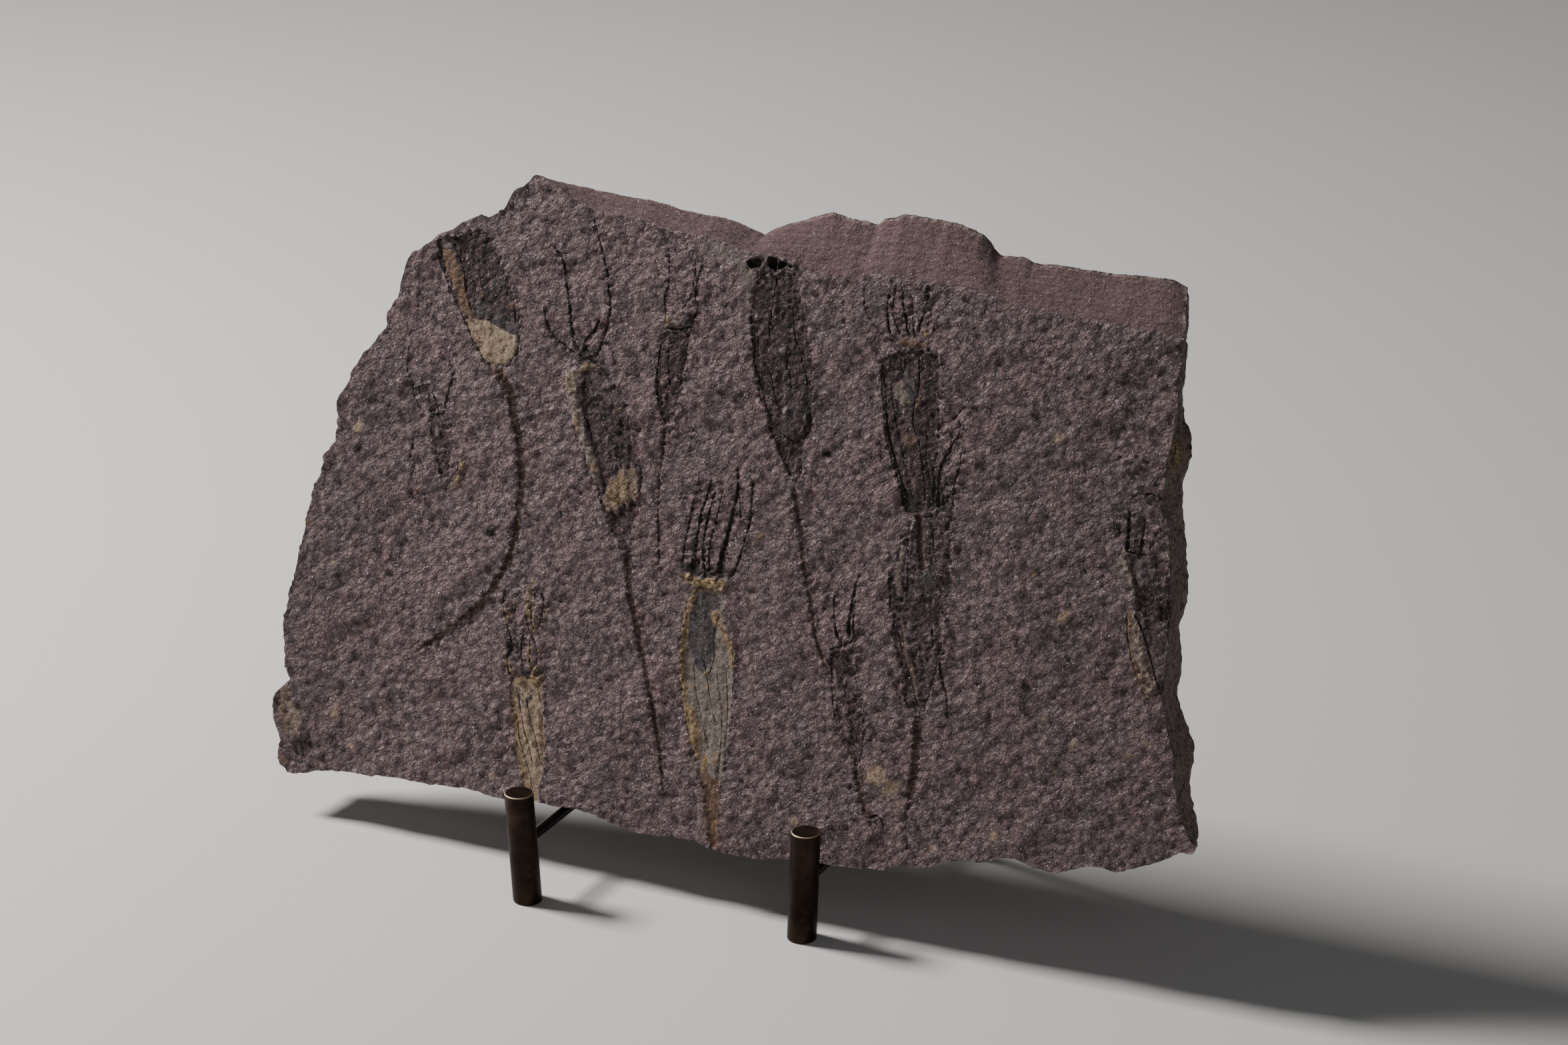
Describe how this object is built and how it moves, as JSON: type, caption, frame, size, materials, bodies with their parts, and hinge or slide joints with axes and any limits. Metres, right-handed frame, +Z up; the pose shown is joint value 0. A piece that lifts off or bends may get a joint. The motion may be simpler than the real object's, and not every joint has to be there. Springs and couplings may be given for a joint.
{
  "type": "fossil crinoid plate",
  "caption": "Rough sandstone slab with sunken moulds of stalked echinoderms in its face, leaning back on a small brass rod stand.",
  "frame": {"origin": "middle of the base on the table: the centre of the bounding box's underside", "axes": "+X along the slab, to the right as seen from its fossil side; +Y back through the slab, from the fossil side to the back; +Z up"},
  "size_m": [0.349, 0.1102, 0.2311],
  "materials": {
    "sandstone": "matte",
    "post_brass": "satin",
    "rod_brass": "satin"
  },
  "bodies": {
    "root": {"slab": "sandstone", "post_left": "post_brass", "post_right": "post_brass", "rear_post_left": "post_brass", "rear_post_right": "post_brass", "arm_left": "rod_brass", "arm_right": "rod_brass", "cross_bar": "rod_brass", "strut_left": "rod_brass", "strut_right": "rod_brass"}
  },
  "joints": []
}
